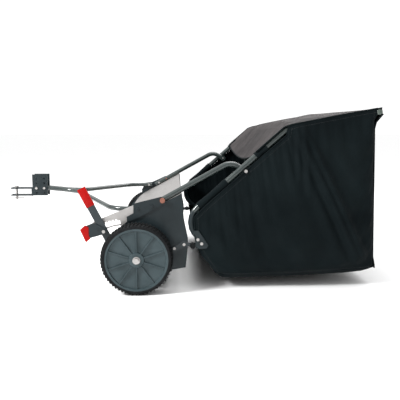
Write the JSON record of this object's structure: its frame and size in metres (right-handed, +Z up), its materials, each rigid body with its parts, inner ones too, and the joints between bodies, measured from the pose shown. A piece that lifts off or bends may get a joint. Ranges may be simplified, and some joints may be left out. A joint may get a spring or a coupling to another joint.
{
  "type": "lawn sweeper",
  "caption": "Tow-behind lawn sweeper with wheel-driven brush, height lever, drawbar and tipping fabric hopper.",
  "frame": {"origin": "on the ground below the middle of the whole machine's box", "axes": "+X to the rear, from hitch to hopper; +Y to the machine's right; +Z up"},
  "size_m": [1.74, 1.308, 0.7855],
  "materials": {
    "galvanised": "bright zinc",
    "black_paint": "satin powder coat",
    "grey_paint": "satin powder coat",
    "bronze_plastic": "satin",
    "red_grip": "dipped vinyl",
    "bush_plastic": "satin",
    "bumper_rubber": "matte",
    "rim_plastic": "moulded satin",
    "tyre": "semi-pneumatic tread",
    "bristle": "stiff filament",
    "bag_cloth": "coated woven cloth"
  },
  "bodies": {
    "root": {"housing_cover": "galvanised", "side_plate_left": "black_paint", "side_plate_right": "black_paint", "drawbar_bracket_left": "black_paint", "drawbar_bracket_right": "black_paint", "rest_bracket_left": "grey_paint", "rest_bracket_right": "grey_paint", "arm_tube_left": "grey_paint", "arm_tube_right": "grey_paint", "drawbar_tube_left": "grey_paint", "drawbar_tube_right": "grey_paint", "hitch_plate_left": "black_paint", "hitch_plate_right": "black_paint", "height_rack": "galvanised", "rear_apron": "black_paint", "rest_bumpers": "bumper_rubber", "clamp_knobs": "bronze_plastic", "hitch_clevis": "black_paint", "frame_bolts": "galvanised", "hitch_bolts": "galvanised", "hopper_pivot_pins": "galvanised"},
    "carrier": {"height_shaft": "grey_paint", "carrier_plate_left": "black_paint", "carrier_plate_right": "black_paint", "stub_axle_left": "galvanised", "stub_axle_right": "galvanised", "axle_nuts": "galvanised", "height_lever": "grey_paint", "lever_grip": "red_grip", "latch_pivot_pin": "galvanised", "brush_bushes": "bush_plastic"},
    "latch": {"latch_plate": "black_paint", "latch_grip": "red_grip"},
    "brush": {"brush_shaft": "galvanised", "brush_hubs": "rim_plastic", "brush_strip_1": "bristle", "brush_strip_2": "bristle", "brush_strip_3": "bristle", "brush_strip_4": "bristle"},
    "pinion_left_body": {"pinion_left": "rim_plastic"},
    "pinion_right_body": {"pinion_right": "rim_plastic"},
    "wheel_left": {"wheel_rim_left": "rim_plastic", "tyre_left": "tyre", "ring_gear_left": "rim_plastic"},
    "wheel_right": {"wheel_rim_right": "rim_plastic", "tyre_right": "tyre", "ring_gear_right": "rim_plastic"},
    "hopper": {"hopper_tube_left": "grey_paint", "hopper_tube_right": "grey_paint", "hopper_rear_tube": "grey_paint", "hopper_front_tube": "grey_paint", "hopper_struts": "grey_paint", "hopper_lugs": "grey_paint", "hopper_foot_plates": "grey_paint", "bag_side_left": "bag_cloth", "bag_side_right": "bag_cloth", "bag_floor": "bag_cloth", "bag_back": "bag_cloth"},
    "hitch_pin_body": {"hitch_pin": "galvanised"},
    "hitch_clip_body": {"hitch_clip": "galvanised"}
  },
  "joints": [
    {"name": "height_adjust", "type": "hinge", "parent": "root", "child": "carrier", "pos_m": [-0.24, 0, 0.099], "axis": [0, 1, 0], "range_deg": [0, 25]},
    {"name": "latch_turn", "type": "hinge", "parent": "carrier", "child": "latch", "pos_m": [-0.323, 0, 0.261], "axis": [0, -1, 0], "range_deg": [0, 12]},
    {"name": "wheel_left_spin", "type": "hinge", "parent": "carrier", "child": "wheel_left", "pos_m": [-0.18, 0, 0.1525], "axis": [0, 1, 0], "continuous": true},
    {"name": "wheel_right_spin", "type": "hinge", "parent": "carrier", "child": "wheel_right", "pos_m": [-0.18, 0, 0.1525], "axis": [0, 1, 0], "continuous": true},
    {"name": "brush_spin", "type": "hinge", "parent": "carrier", "child": "brush", "pos_m": [-0.11409, 0, 0.149], "axis": [0, 1, 0], "continuous": true},
    {"name": "pinion_left_spin", "type": "hinge", "parent": "carrier", "child": "pinion_left_body", "pos_m": [-0.11409, 0, 0.149], "axis": [0, 1, 0], "continuous": true},
    {"name": "pinion_right_spin", "type": "hinge", "parent": "carrier", "child": "pinion_right_body", "pos_m": [-0.11409, 0, 0.149], "axis": [0, 1, 0], "continuous": true},
    {"name": "hopper_dump", "type": "hinge", "parent": "root", "child": "hopper", "pos_m": [0.283, 0, 0.5165], "axis": [0, -1, 0], "range_deg": [0, 90]},
    {"name": "hitch_pin_turn", "type": "hinge", "parent": "root", "child": "hitch_pin_body", "pos_m": [-0.846, 0, 0.372], "axis": [0, 0, 1], "continuous": true},
    {"name": "hitch_clip_pull", "type": "slide", "parent": "hitch_pin_body", "child": "hitch_clip_body", "axis": [1, 0, 0], "range_m": [0, 0.05]}
  ],
  "couplings": [
    {"joint": "brush_spin", "follows": "wheel_left_spin", "ratio": 5},
    {"joint": "pinion_left_spin", "follows": "wheel_left_spin", "ratio": 5},
    {"joint": "pinion_right_spin", "follows": "wheel_right_spin", "ratio": 5}
  ]
}
